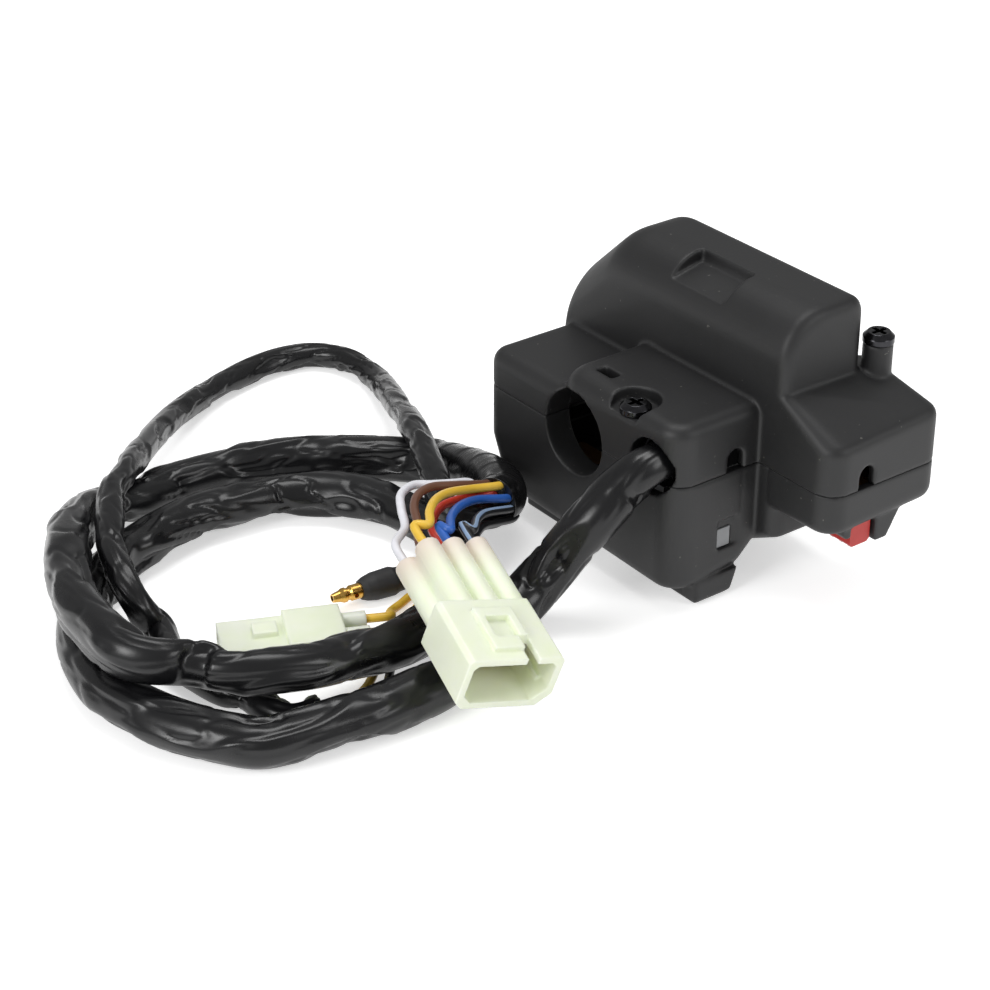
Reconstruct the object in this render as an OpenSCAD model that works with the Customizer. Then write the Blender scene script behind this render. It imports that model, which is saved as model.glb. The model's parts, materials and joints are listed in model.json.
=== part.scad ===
// Handlebar switch cluster: a two-part casing that clamps on the bar, two slide switches,
// two push switches and a sleeved harness with two connectors and a bullet terminal.
// Millimetres. Origin on the bar axis at the clamp mouth, X along the bar into the casing,
// Z up from the parting plane to the tower. It rests on the guards of its switch face.

/* [Handlebar clamp] */
// Diameter of the handlebar
bar_d = 22.2; // [22:0.1:22.4]
// Radial room between the handlebar and the clamp lips
bar_clear = 0.1; // [0.05:0.05:0.2]
// Length of each clamp lip along the bar
lip_l = 8; // [6:0.5:10]
// Wall of a clamp lip
lip_wall = 1.6; // [1.3:0.1:1.8]
// Radial room round the bar between the lips
relief = 1; // [0.7:0.1:1.1]

/* [Casing] */
// Wall of the casing
wall = 2.5; // [2.3:0.1:2.6]
// From the clamp mouth to the tower
block_l = 26.8; // [26.6:0.1:28]
// From the bar axis to the side beside the harness exit
cord_side = 39.4; // [39.2:0.1:41]
// From the bar axis to the opposite side
far_side = 36.5; // [36:0.1:39]
// Height of the shelf above the parting plane
shelf_h = 10.3; // [10:0.1:10.8]
// Height of the screw pad above the parting plane
pad_h = 16; // [15.6:0.1:17]
// Depth of the switch face below the parting plane
face_d = 29.5; // [29.4:0.1:31]
// Reach of pod, guards and collar beyond the switch face
guard_h = 5.5; // [5:0.1:6.5]
// Diameter of the pocket round the head of the pad screw
pocket_d = 12.8; // [11:0.1:13.4]

/* [Tower] */
// Height of the tower above the parting plane
tower_h = 40.8; // [40:0.1:43]
// Width of the tower along the bar
tower_w = 25.9; // [25.6:0.1:27]
// Radius along the front top edge
tower_r = 12.5; // [11:0.5:13]
// Radius along the back top edge
tower_back_r = 4; // [3:0.5:5]
// From the bar axis to the tower end above the stop switch
tower_end = 47; // [46.8:0.1:47.6]
// Radius of the two blends where the tower falls to the far side
fall_r = 12; // [11:0.5:13]
// Width of the recessed window
window_w = 19.5; // [16:0.5:21]

/* [Stop switch block] */
// From the back of the tower to the end of the block
stop_back = 11.5; // [11.2:0.1:13]
// From the bar axis to its outer side
stop_side = 64.9; // [64.8:0.1:66]
// Depth below the parting plane
stop_d = 11; // [10.9:0.1:12]
// Height at its outer side
stop_h = 14.5; // [14:0.1:16]
// Height where it meets the tower
stop_top = 21.3; // [20:0.1:23]

/* [Slide switches] */
// Width of the stop knob
stop_knob_w = 6.6; // [6:0.1:7]
// Length of the stop knob
stop_knob_l = 9; // [8:0.1:9.2]
// Travel of the stop knob
stop_travel = 6; // [5:0.5:6]
// Width of the light knob
light_knob_w = 8; // [7:0.1:9]
// Length of the light knob
light_knob_l = 10; // [9:0.1:11]
// Travel of the light knob to each side
light_travel = 4; // [3:0.5:4.5]
// Room between a sliding piece and its guide
slide_gap = 0.4; // [0.35:0.05:0.5]
// Diameter of a detent ball
ball_d = 2.8; // [2.6:0.1:2.9]
// Thickness of a contact board
board_t = 1.6; // [1.4:0.1:1.7]
// Width of a contact board along the bar
board_w = 19; // [18.6:0.1:19.4]
// Width of a carrier along the bar
carrier_w = 12; // [11.6:0.1:12.2]
// Length of a carrier
carrier_l = 8; // [7.8:0.1:8.2]
// Height of a carrier
carrier_h = 3.4; // [3.3:0.05:3.5]

/* [Push switches] */
// Diameter of the start button
start_d = 8; // [7.6:0.1:8.2]
// Diameter of the horn button
horn_d = 14; // [13:0.1:14.4]
// Travel of both buttons
push_travel = 2.5; // [2:0.1:2.6]
// Radial room round a button
push_gap = 0.4; // [0.35:0.05:0.5]
// Wire of the return springs
spring_wire = 0.7; // [0.6:0.05:0.8]
// Length of the return springs with the buttons out
spring_l = 4.5; // [4.4:0.05:4.6]
// Height of a switch body
body_h = 7.1; // [7:0.05:7.2]
// Width of a switch body across the bar
body_w = 10.6; // [10.4:0.1:10.7]
// Thickness of the flange under a button
flange_t = 1.4; // [1.3:0.05:1.5]
// Reach of the flange beyond the button
flange_over = 1.2; // [1:0.1:1.3]
// Diameter of a button stem
stem_d = 4; // [3.6:0.1:4.2]

/* [Screws] */
// Thread diameter of both casing screws
screw_d = 4; // [3.8:0.1:4.1]
// Head diameter of both casing screws
head_d = 8; // [7.4:0.1:8.2]
// Radial room of a screw in the rear casing
screw_clear = 0.2; // [0.1:0.05:0.3]

/* [Harness] */
// Diameter of the main sleeve
sleeve_d = 12.5; // [12.2:0.1:12.6]
// Diameter of the branch sleeve
branch_d = 7.5; // [7.2:0.1:7.6]
// Diameter of the tape wrap
tape_d = 13; // [12.6:0.1:13.2]
// Diameter of an insulated wire
wire_d = 2.2; // [2:0.1:2.3]
// Room round a wire in its connector tube
wire_clear = 0.2; // [0.1:0.05:0.3]

/* [Connectors] */
// Spacing of the terminal tubes
tube_pitch = 6.5; // [6.4:0.1:6.7]
// Length of the large connector
conn_l = 45; // [44:0.5:46]
// Width of its shroud
conn_w = 24.6; // [24:0.1:25.4]
// Height of its shroud
conn_h = 14.4; // [14.2:0.1:15]
// Wall of the connectors
conn_wall = 1.8; // [1.5:0.1:2]
// Length of the small connector
plug_l = 36; // [35:0.5:36.5]
// Width of the small connector
plug_w = 16; // [15.6:0.1:16.4]
// Height of the small connector
plug_h = 9; // [8.6:0.1:9.4]

/* [Hidden] */
$fn = 48;
eps = 0.01;
bore_r = bar_d / 2 + bar_clear;
lip_r = bore_r + lip_wall;
tower_x = block_l + tower_w;
tower_far = far_side + 1;
stop_x = tower_x + stop_back;
rest_z = -face_d - guard_h;
face_in = wall - face_d;
stop_in = wall - stop_d;
cap_wall = wall + 1.5;
exit_y = cord_side - 9.8;
exit_z = 3.4;
sleeve_r = sleeve_d / 2;
exit_r = sleeve_r + 1;
screw_r = screw_d / 2;
pad_screw = [4.5, 20.7 - cord_side, 12.5];
block_screw = [tower_x + 4.3, -tower_end - 0.5, stop_top + 6.2];
pod_x = 8.3;
pod_l = 12.7;
start_at = [14.6, 8.5 - cord_side];
horn_at = [block_l + 11.7, 2];
stop_at = [block_l + 13.7, 7.1 - stop_side];
light_at = [14, 16];
stem = 4;
board_z = carrier_h + 1.7;
push_half = body_w / 2;
flange_z = 0.4;
body_z = flange_z + flange_t + spring_l;
bridge_z = body_z + 2.1;
plate_z = bridge_z + push_travel + 1.3;
plate_t = body_z + body_h - plate_z;
hook_x = start_at[0] + 0.6;
hook_w = 4.1;
hook_z = 8.7 - face_d;
hook_h = 5.1;
case_black = "#26272a";
knob_red = "#b5231c";
nylon = "#dde6cf";
brass = "#c79a3e";
steel = "#b9bcc0";

sleeve_route = [[9, -exit_y, exit_z], [-1, -exit_y, exit_z - 0.2], [-8, -27.8, -1.5],
  [-14.3, -26.8, -7], [-19.2, -24.2, -13.5], [-23.7, -22.1, -20], [-30.6, -21.4, -25.8],
  [-41, -24.3, -28.7], [-54.6, -31, -28.7], [-67.4, -36.3, -28.7], [-84, -37.4, -28.7],
  [-95.1, -35.9, -28.7], [-105.5, -34.3, -28.7], [-114, -31.8, -28.7], [-119.3, -25.4, -28.7],
  [-124.6, -16.3, -28.7], [-128.7, -6.3, -28.7], [-130.9, 4.6, -28.7], [-129, 18.7, -28.7],
  [-124.5, 31, -28.7], [-115, 44.5, -28.7], [-101, 56, -28.7], [-85.7, 62.3, -28.7], [-73, 64.6, -28.7],
  [-62.9, 63.6, -28.7], [-52.1, 62.1, -28.7], [-44.2, 58.5, -28.7], [-37.4, 52.2, -28.7],
  [-32, 43.7, -28.7], [-28.3, 34.3, -28.7], [-26.7, 23.3, -28.7], [-30, 11.3, -28.7],
  [-34.4, -3.7, -28.7], [-48.8, -12.9, -27.8], [-66.1, -19.6, -26], [-82.5, -20.6, -23.2],
  [-92.7, -21.2, -21.3], [-103, -18.8, -20.1], [-110.5, -14.5, -19.8], [-116.1, -8.4, -19.2],
  [-125.4, -3.6, -16.5], [-129.5, 3.8, -15.6], [-129.3, 15.1, -15.4], [-127.9, 26.1, -15.4],
  [-123.8, 37.9, -15.8], [-118.9, 47.6, -16.6], [-110.8, 60.8, -19.2], [-100.3, 73.6, -22.8],
  [-90.7, 80.5, -26.6], [-80.3, 82.2, -28.7], [-68.4, 84.2, -28.7], [-51.6, 81.9, -28.7],
  [-36.5, 76.2, -28.7], [-22.4, 67.6, -28.7], [-13, 58.8, -28.7], [-7.9, 52.1, -28]];
tape_route = [[-7.9, 52.1, -28], [-6.8, 48.1, -27.5], [-6.9, 37.4, -24.5], [-8, 26.7, -21.5],
  [-10.5, 17, -19.2], [-14.1, 10.9, -18.2], [-18.1, 8.9, -17.7]];
branch_route = [[-14.9, 11.2, -21.6], [-19.1, 8.9, -21.1], [-24.2, 9, -20.3], [-28.4, 13, -18.5],
  [-27.6, 19, -18.3], [-23.3, 26.9, -17.2], [-18.7, 37.5, -16.6], [-12.6, 51.3, -16.9],
  [1.9, 81.9, -25], [12.4, 105.5, -31.2], [12.6, 121, -31.2], [6.5, 130.5, -31.2], [-3.9, 133.4, -31.2],
  [-16.8, 132.2, -31.2], [-31.5, 127.5, -31], [-48.2, 117, -28.5], [-66.8, 98.6, -23],
  [-83.7, 79.1, -17], [-94.7, 67.7, -15.2], [-101.5, 56.9, -15.6], [-107, 47.5, -16.8],
  [-109.6, 39.3, -18.2], [-110.5, 31.6, -22.5], [-108.6, 28.4, -27.5], [-106.2, 26.3, -31],
  [-110.5, 12, -31.2], [-109.5, 2, -31.2], [-107.5, -6, -31.2], [-104.1, -10.8, -31.2],
  [-103.3, -18.4, -31.2], [-100.5, -23.3, -31.2], [-94, -24.8, -31.2]];
white_route = [[-17.3, 14.3, -16.2], [-20.2, 12.9, -15.9], [-19.9, 16.8, -15], [-25.6, 16.6, -13.2],
  [-31.5, 17.1, -11.8], [-36.8, 17.8, -10.6], [-43, 14.1, -9.6], [-47.6, 7.3, -9.2],
  [-51.4, 0.5, -9.8]];
brown_route = [[-16, 12.4, -13.5], [-18.9, 11, -13.1], [-22.9, 11, -12], [-30.1, 10.5, -9.6],
  [-36.3, 10.5, -8], [-41.8, 8.4, -7.4], [-45.9, 4.3, -7.6], [-49, -1.6, -8.6]];
red_route = [[-15.3, 10.5, -16.1], [-18.3, 9, -15.8], [-21.6, 11, -15.6], [-28.9, 9.1, -13.4],
  [-36, 6.3, -11.6], [-42.1, 1.4, -10.4], [-46.7, -4.5, -10]];
yellow_route = [[-14.4, 9.4, -13.2], [-17.3, 7.9, -12.8], [-24.8, 8.4, -11.4], [-34.2, 5.6, -8],
  [-41.4, 1.3, -5.6], [-47.4, -4.4, -4.2], [-51.6, -10, -3.8]];
blue_route = [[-13.5, 6.9, -15.9], [-16.5, 5.5, -15.6], [-25.8, 5.7, -13], [-34.9, 0.5, -9.4],
  [-42.8, -6.7, -6.6], [-48.1, -13.6, -5]];
striped_route = [[-13.3, 5.8, -18.6], [-16.2, 4.4, -18.3], [-26.5, 1.1, -14.5], [-34.3, -5.7, -10.5],
  [-41.2, -13.4, -7.5]];
black_route = [[-13.6, 5.7, -21.6], [-16.5, 4.2, -21.2], [-26.9, 0.5, -17.5], [-34.1, -5.5, -14.5],
  [-39.2, -11.1, -12.6]];
bullet_route = [[-99, -25.2, -32.2], [-93, -26.3, -32.6], [-86, -27.5, -33.8], [-76, -25, -33.8],
  [-66, -15, -33.8], [-56, -8, -33.8], [-46, -1.5, -33.8], [-40.8, 3, -33.7], [-38.2, 7, -32.9],
  [-38.3, 9.4, -31.8], [-40, 10.3, -31.3], [-43, 10.6, -31.2], [-49, 11.3, -31.2]];
tail_route = [[-99, -22.4, -32.2], [-93, -23.2, -32.6], [-86, -23.6, -33.8], [-78, -21, -33.8],
  [-66.7, -11.5, -33.8], [-57, -5, -33.8], [-47.5, 1.2, -33.8], [-43.8, 4.4, -33.8], [-45.6, 6.2, -33.8],
  [-50.5, 4.2, -33.6], [-55.5, 1.6, -32.8]];

conn_at = [-64.7, -59.2, -18];
conn_turn = [-13.7, 11.6, -103.5];
top_z = 3.1;
low_z = -2.7;
tube_r = tube_pitch / 2 - 0.1;
shroud_l = 21;
wire_r = wire_d / 2;
plug_at = [-83.6, 1.4];
plug_turn = -24.5;

module box(a, b) translate(a) cube(b - a);

// Plan outline in XZ, carried along Y
module along_y(y0, y1) translate([0, y1, 0]) rotate([90, 0, 0]) linear_extrude(y1 - y0) children();

// Round post from the parting plane, its end edge rounded by e
module post(x, y, r, h, e) for (a = [0 : 18 : 90]) translate([x, y, 0])
  cylinder(r = r - e * (1 - cos(a)), h = h - e * (1 - sin(a)), $fn = 40);
module post_down(x, y, r, h, e) mirror([0, 0, 1]) post(x, y, r, h, e);

// Shelf, pad, tower and stop switch block of the rear casing
function tower_outline(inset, top, foot) = let (x0 = block_l + inset, x1 = tower_x - inset) concat(
  [[x0, foot]],
  [for (a = [180 : -7.5 : 90]) [x0 + tower_r * (1 + cos(a)), top - tower_r * (1 - sin(a))]],
  [for (a = [90 : -15 : 0]) [x1 - tower_back_r * (1 - cos(a)), top - tower_back_r * (1 - sin(a))]],
  [[x1, foot]]);
function tower_stations(side, cap) = concat(
  [for (a = [0 : 18 : 90]) [side + 3 * (1 - cos(a)) - tower_end, side + 3 * (1 - sin(a)),
    tower_h - cap - 3 * (1 - sin(a))]],
  [for (a = [90 : -7.5 : 45]) [14 + (fall_r - cap) * cos(a), side,
    tower_h - fall_r + (fall_r - cap) * sin(a)]],
  [for (a = [45 : -7.5 : 0]) [tower_far - fall_r + (fall_r - side) * cos(a), side,
    18 + (fall_r - side) * sin(a)]]);
module tower_form(side, cap, foot) hull() for (s = tower_stations(side, cap))
  translate([0, s[0], 0]) rotate([90, 0, 0]) linear_extrude(eps) polygon(tower_outline(s[1], s[2], foot));
module rear_form() {
  hull() for (x = [5, block_l + 5], y = [far_side - 5, 10 - cord_side]) post(x, y, 5, shelf_h, 4);
  hull() for (x = [0, block_l - 3]) {
    post(x + 7, 7 - cord_side, 7, pad_h, 3.5);
    post(x + 8, 0, 8, pad_h, 6);
  }
  tower_form(0, 0, 0);
  hull() {
    post(block_l + 6, 6 - stop_side, 6, stop_h - 1, 3);
    post(stop_x - 5, 5 - stop_side, 5, stop_h + 0.5, 3);
    post(block_l + 3, 3 - tower_end, 3, stop_top, 1);
    post(stop_x - 8, 4 - tower_end, 4, stop_top - 0.5, 1.5);
  }
}
module rear_inner() {
  tower_form(wall, cap_wall, -1);
  box([wall + 0.5, wall + 0.4 - cord_side, -1], [block_l + wall + 1, -lip_r, pad_h - 3.6]);
  box([wall + 0.5, lip_r, -1], [block_l + wall + 1, far_side - wall - 0.5, shelf_h - 2.7]);
  box([block_l + wall + 0.2, wall - stop_side, -1], [stop_x - wall - 0.2, -tower_end - wall, stop_h - 3.5]);
}

// Clamp lips at both ends of the bore, half of each in either casing
module lips(z0, z1) intersection() {
  for (x = [wall, tower_x - lip_l]) translate([x, 0, 0]) rotate([0, 90, 0])
    cylinder(r = lip_r, h = lip_l - wall);
  box([0, -lip_r, z0], [tower_x, lip_r, z1]);
}
module bore() {
  translate([-1, 0, 0]) rotate([0, 90, 0]) cylinder(r = bore_r, h = tower_x + 2, $fn = 96);
  translate([lip_l, 0, 0]) rotate([0, 90, 0])
    cylinder(r = bore_r + relief, h = tower_w + block_l - 2 * lip_l, $fn = 96);
}
module harness_exit() translate([-1, -exit_y, exit_z]) rotate([0, 90, 0]) cylinder(r = exit_r, h = wall + 3);

// Round-topped notch cut into a side wall from the parting plane
module notch(x, y, w, h) {
  box([x, y - 1, -1], [x + w, y + wall + 1, h - w / 2]);
  translate([x + w / 2, y - 1, h - w / 2]) rotate([-90, 0, 0]) cylinder(r = w / 2, h = wall + 2);
}

module rear_case() color(case_black) difference() {
  union() {
    difference() {
      rear_form();
      rear_inner();
    }
    lips(0, lip_r);
    translate([pad_screw[0], pad_screw[1], 0]) cylinder(r = 3.8, h = pad_screw[2]);
    intersection() {
      translate([pad_screw[0], pad_screw[1], pad_screw[2] - 3]) cylinder(r = 8, h = 3);
      box([0.5, -cord_side, 0], [block_l, 0, pad_h]);
    }
    translate([block_screw[0], block_screw[1], 0]) cylinder(r = 3.8, h = block_screw[2]);
  }
  bore();
  harness_exit();
  for (s = [pad_screw, block_screw]) translate([s[0], s[1], -1])
    cylinder(r = screw_r + screw_clear, h = s[2] + 2);
  translate(pad_screw) cylinder(d = pocket_d, h = pad_h);
  notch(16.9, -cord_side, 5, 6);
  notch(block_l + 9.7, -stop_side, 4.7, 6);
  box([6.8, -6.4, pad_h - 3], [10, -0.3, pad_h + 1]);
  along_y(-2 - window_w, -2) polygon([[block_l + 2.4, tower_h - 5.5], [block_l + tower_r, tower_h - 3.2],
    [block_l + tower_r, tower_h + 1], [block_l - 1, tower_h + 1], [block_l - 1, tower_h - 5.5]]);
}

module front_form() {
  hull() {
    post_down(7, 7 - cord_side, 7, face_d, 3);
    post_down(block_l - 6, 6 - cord_side, 6, face_d, 6);
    post_down(block_l + 1, 6 - cord_side, 6, face_d - 9, 3);
    for (x = [5, block_l + 5]) {
      post_down(x, far_side - 5, 5, face_d / 2, 0.5);
      post_down(x, far_side - 10, 5, face_d, 5);
    }
  }
  hull() for (x = [block_l + 4, tower_x - 4]) {
    post_down(x, 5 - tower_end, 4, face_d - 9.5, 2);
    post_down(x, -24, 4, face_d, 3);
    post_down(x, tower_far - 10, 4, face_d, 4);
    post_down(x, tower_far - 4.5, 4, face_d / 2, 0.5);
  }
  hull() {
    post_down(block_l + 6, 6 - stop_side, 6, stop_d, 2.5);
    post_down(stop_x - 5, 5 - stop_side, 5, stop_d, 4);
    post_down(block_l + 3, 3 - tower_end, 3, stop_d, 2);
    post_down(stop_x - 8, 4 - tower_end, 4, stop_d, 2);
  }
}
module front_inner() {
  box([wall + 0.5, wall + 0.4 - cord_side, face_in], [block_l - 4.3, -20, 1]);
  box([wall + 0.5, -21, face_in], [tower_x - wall, far_side - 8.5, 1]);
  box([wall + 0.5, 0, -face_d / 2], [tower_x - wall, far_side - wall - 0.6, 1]);
  box([block_l - 5, wall + 0.4 - cord_side, 12.5 - face_d], [block_l + wall + 1, -20, 1]);
  box([block_l + wall, wall + 1.5 - tower_end, 12 - face_d], [tower_x - wall, -20, 1]);
  box([block_l + wall, -26, face_in], [tower_x - wall, -20, 1]);
  box([block_l + wall + 0.2, wall - stop_side, stop_in], [stop_x - wall - 1.2, 4 - tower_end, 1]);
}

// Pod, guards and collar that stand on the switch face
module pod() intersection() {
  along_y(-cord_side, pod_l - cord_side + 2.7) polygon([[pod_x, 1 - face_d], [pod_x, rest_z + 1],
    [pod_x + 1, rest_z], [pod_x + pod_l - 1.5, rest_z], [pod_x + pod_l + 1, 1.5 - face_d]]);
  translate([0, 0, rest_z]) rotate([90, 0, 90]) linear_extrude(block_l) polygon([[1.5 - cord_side, 0],
    [pod_l - cord_side + 1.2, 0], [pod_l - cord_side + 2.7, 1.5], [pod_l - cord_side + 2.7, guard_h + 2],
    [-cord_side, guard_h + 2], [-cord_side, 1.5]]);
}
module light_guard(x) along_y(light_at[1] - 11, light_at[1] + 11)
  polygon([[x, 1 - face_d], [x, rest_z + 0.6], [x + 0.6, rest_z], [x + 1.4, rest_z], [x + 2, rest_z + 0.6],
    [x + 2, 1 - face_d]]);
module stop_guards() along_y(1.4 - stop_side, -tower_end) {
  translate([stop_at[0] - stop_knob_w / 2 - 3.7, 0]) polygon([[0, 1 - stop_d], [0, -stop_d - 1.2],
    [1.4, -stop_d - 2.8], [3, -stop_d - 2.8], [3, 1 - stop_d]]);
  translate([stop_at[0] + stop_knob_w / 2 + 0.7, 0]) polygon([[0, 1 - stop_d], [0, -stop_d - 6],
    [0.6, -stop_d - 6.5], [4.1, -stop_d - 6.5], [8.5, 1 - stop_d]]);
}

module board_posts(at, z_in, lo, hi)
  for (x = [1.5 - board_w / 2, board_w / 2 - 1.5], y = [lo - 3.3, hi + 3.3])
    translate([at[0] + x, at[1] + y, z_in - 1]) cylinder(r = 1.2, h = board_z + 1);
module slide_slot(at, z_in, lo, hi) translate([at[0], at[1] - 1.5, z_in])
  box([-stem / 2 - slide_gap, lo - stem / 2 - slide_gap, -wall - 8],
    [stem / 2 + slide_gap, hi + stem / 2 + slide_gap, 1]);
module push_opening(at, d) translate([at[0], at[1], rest_z - 1])
  cylinder(d = d + 2 * push_gap, h = guard_h + wall + 1.5);

module front_case() color(case_black) difference() {
  union() {
    difference() {
      union() {
        front_form();
        pod();
        stop_guards();
        for (s = [-7.5, 5.5]) light_guard(light_at[0] + s);
        translate([horn_at[0], horn_at[1], rest_z]) cylinder(d = horn_d + 2 * push_gap + 4, h = guard_h + 1);
      }
      front_inner();
    }
    lips(-lip_r, 0);
    translate([pad_screw[0], pad_screw[1], face_in - 1]) cylinder(r = screw_r + 2, h = 1 - face_in);
    translate([block_screw[0], block_screw[1], stop_in - 1]) cylinder(r = screw_r + 2, h = 1 - stop_in);
    board_posts(stop_at, stop_in, 0, stop_travel);
    board_posts(light_at, face_in, -light_travel, light_travel);
  }
  bore();
  harness_exit();
  for (s = [pad_screw, block_screw]) translate([s[0], s[1], stop_in]) cylinder(r = screw_r + 0.05, h = 12);
  translate([pad_screw[0], pad_screw[1], -14]) cylinder(r = screw_r + 0.05, h = 15);
  slide_slot(stop_at, stop_in, 0, stop_travel);
  slide_slot(light_at, face_in, -light_travel, light_travel);
  push_opening(start_at, start_d);
  push_opening(horn_at, horn_d);
  box([hook_x - 0.5, -cord_side - 1, hook_z - 0.2],
    [hook_x + hook_w + 1.9, 0.8 - cord_side, hook_z + hook_h + 3]);
  box([hook_x - 0.2, -cord_side, hook_z - 0.2],
    [hook_x + hook_w + 0.2, wall + 1 - cord_side, hook_z + hook_h + 0.2]);
  box([pod_x - 1, 5.2 - cord_side, rest_z + 1.4], [pod_x + 0.6, 5.9 - cord_side, 1 - face_d]);
  box([block_l - 5.2, -cord_side - 1, 8.5 - face_d], [block_l - 4.6, 0.5 - cord_side, 1]);
}

// Pan-head screw with a cross recess, seated at the origin and pointing down
module screw(l) color("#17181a") difference() {
  union() {
    translate([0, 0, -l]) cylinder(r = screw_r, h = l);
    cylinder(d = head_d, h = 1.6);
    translate([0, 0, 1.6]) cylinder(d1 = head_d, d2 = head_d - 2.4, h = 1.2);
  }
  for (a = [0, 90]) rotate(a) box([-2.2, -0.55, 1.2], [2.2, 0.55, 4]);
}
module pad_screw_1() translate(pad_screw) screw(pad_screw[2] + 10);
module block_screw_1() translate(block_screw) screw(block_screw[2] + 7.5);

module cable_tie() color("#202124") translate([wall + 1.5, -exit_y, exit_z]) difference() {
  union() {
    rotate([0, 90, 0]) cylinder(r = sleeve_r + 0.45, h = 3.6);
    box([-0.4, -2, sleeve_r], [4, 2, sleeve_r + 2.4]);
  }
  translate([-1, 0, 0]) rotate([0, 90, 0]) cylinder(r = sleeve_r + 0.02, h = 6);
}

// Slide switch: knob outside, then carrier, detent, bridge and board inside
module slide_knob(at, z_in, w, l, h) translate([at[0], at[1], z_in]) {
  translate([0, 0, -wall - slide_gap + 0.1]) along_y(-l / 2, l / 2) polygon([[-w / 2, 0], [-w / 2, 0.8 - h],
    [0.8 - w / 2, -h], [w / 2 - 0.8, -h], [w / 2, 0.8 - h], [w / 2, 0]]);
  for (y = [-l / 3, 0, l / 3]) along_y(y - 0.5, y + 0.5) translate([0, -wall - slide_gap + 0.1])
    polygon([[-w / 2 + 1, -h], [-w / 2 + 1.4, -h - 0.6], [w / 2 - 1.4, -h - 0.6], [w / 2 - 1, -h]]);
  box([-stem / 2, -1.5 - stem / 2, -wall - slide_gap], [stem / 2, stem / 2 - 1.5, 2]);
}
module slide_carrier(at, z_in) translate([at[0], at[1], z_in + slide_gap - 0.1]) difference() {
  box([-carrier_w / 2, -carrier_l / 2, 0], [carrier_w / 2, carrier_l / 2, carrier_h]);
  translate([0, -1.5, 0])
    box([-stem / 2 - 0.05, -stem / 2 - 0.05, -1], [stem / 2 + 0.05, stem / 2 + 0.05, 1.8]);
  translate([-4, 2, 0.8]) cylinder(d = ball_d + 0.2, h = 4);
}
module slide_ball(at, z_in) translate([at[0] - 4, at[1] + 2, z_in + board_z - 0.9])
  sphere(d = ball_d, $fn = 32);
module helix(r, wire, h, turns, sides) {
  route = [for (i = [0 : turns * sides]) [r * cos(360 * i / sides), r * sin(360 * i / sides),
    wire / 2 + (h - wire) * i / (turns * sides)]];
  cord(route, wire / 2, 6);
}
module slide_spring(at, z_in) translate([at[0] - 4, at[1] + 2, z_in + slide_gap + 0.7])
  helix(ball_d / 2 - 0.35, 0.4, board_z - 1.6 - ball_d / 2 - slide_gap, 2.5, 10);
module slide_bridge(at, z_in) translate([at[0] + 4, at[1], z_in + slide_gap + carrier_h - 0.1])
  box([-1.2, -3.5, 0], [1.2, 3.5, 0.5]);
module slide_board(at, z_in, lo, hi) translate([at[0], at[1], z_in + board_z]) difference() {
  box([-board_w / 2, lo - 4.5, 0], [board_w / 2, hi + 4.5, board_t]);
  box([-4 - ball_d / 2, lo - 1, -1], [ball_d / 2 - 4, hi + 5, 0.8]);
  for (y = [lo - 1, hi + 1]) translate([4, y, -1]) cylinder(r = 0.5, h = 4, $fn = 24);
}
module slide_contacts(at, z_in, lo, hi) for (y = [lo - 1, hi + 1])
  translate([at[0] + 4, at[1] + y, z_in + board_z]) {
    translate([0, 0, -0.5]) cylinder(r = 1, h = 0.5, $fn = 24);
    cylinder(r = 0.5, h = board_t + 0.6, $fn = 24);
  }

module stop_knob() color(knob_red) slide_knob(stop_at, stop_in, stop_knob_w, stop_knob_l, 6);
module stop_carrier() color("#d8d4c8") slide_carrier(stop_at, stop_in);
module stop_ball() color(steel) slide_ball(stop_at, stop_in);
module stop_spring() color(steel) slide_spring(stop_at, stop_in);
module stop_bridge() color(brass) slide_bridge(stop_at, stop_in);
module stop_board() color("#6b4a2c") slide_board(stop_at, stop_in, 0, stop_travel);
module stop_contacts() color(brass) slide_contacts(stop_at, stop_in, 0, stop_travel);
module light_knob() color("#2a2b2e") slide_knob(light_at, face_in, light_knob_w, light_knob_l, guard_h - 1.4);
module light_carrier() color("#d8d4c8") slide_carrier(light_at, face_in);
module light_ball() color(steel) slide_ball(light_at, face_in);
module light_spring() color(steel) slide_spring(light_at, face_in);
module light_bridge() color(brass) slide_bridge(light_at, face_in);
module light_board() color("#6b4a2c") slide_board(light_at, face_in, -light_travel, light_travel);
module light_contacts() color(brass) slide_contacts(light_at, face_in, -light_travel, light_travel);

// Push switch: button with flange and stem, spring, body, bridge and contact plate
function flange_r(d) = d / 2 + flange_over;
module at_switch(at) translate([at[0], at[1], face_in]) children();
module push_button(at, d) at_switch(at) {
  translate([0, 0, 0.8 - guard_h - wall]) cylinder(d = d, h = guard_h + wall - 0.8 + flange_z);
  translate([0, 0, flange_z]) cylinder(r = flange_r(d), h = flange_t);
  translate([0, 0, flange_z + flange_t]) cylinder(d = stem_d, h = bridge_z - flange_z - flange_t);
}
module push_spring(at, r) at_switch(at) translate([0, 0, flange_z + flange_t])
  helix(r, spring_wire, spring_l, 3, 14);
module push_bridge(at, d) at_switch(at)
  box([1.6 - flange_r(d), -1.5, bridge_z], [flange_r(d) - 1.6, 1.5, bridge_z + 0.5]);
module push_body(at, d) at_switch(at) {
  x = flange_r(d) + 2.2;
  difference() {
    box([-x, -push_half, body_z], [x, push_half, body_z + body_h]);
    translate([0, 0, body_z - 1]) cylinder(d = stem_d + 2 * push_gap, h = 4);
    box([2 - x, 1.9 - push_half, body_z + 1.3], [x - 2, push_half - 1.9, plate_z + 0.1]);
    box([1 - x, 0.9 - push_half, plate_z], [x - 1, push_half - 0.9, body_z + body_h + 1]);
  }
  for (s = [-x, x - 1.7]) box([s, -push_half, 0], [s + 1.7, push_half, body_z]);
}
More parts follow.
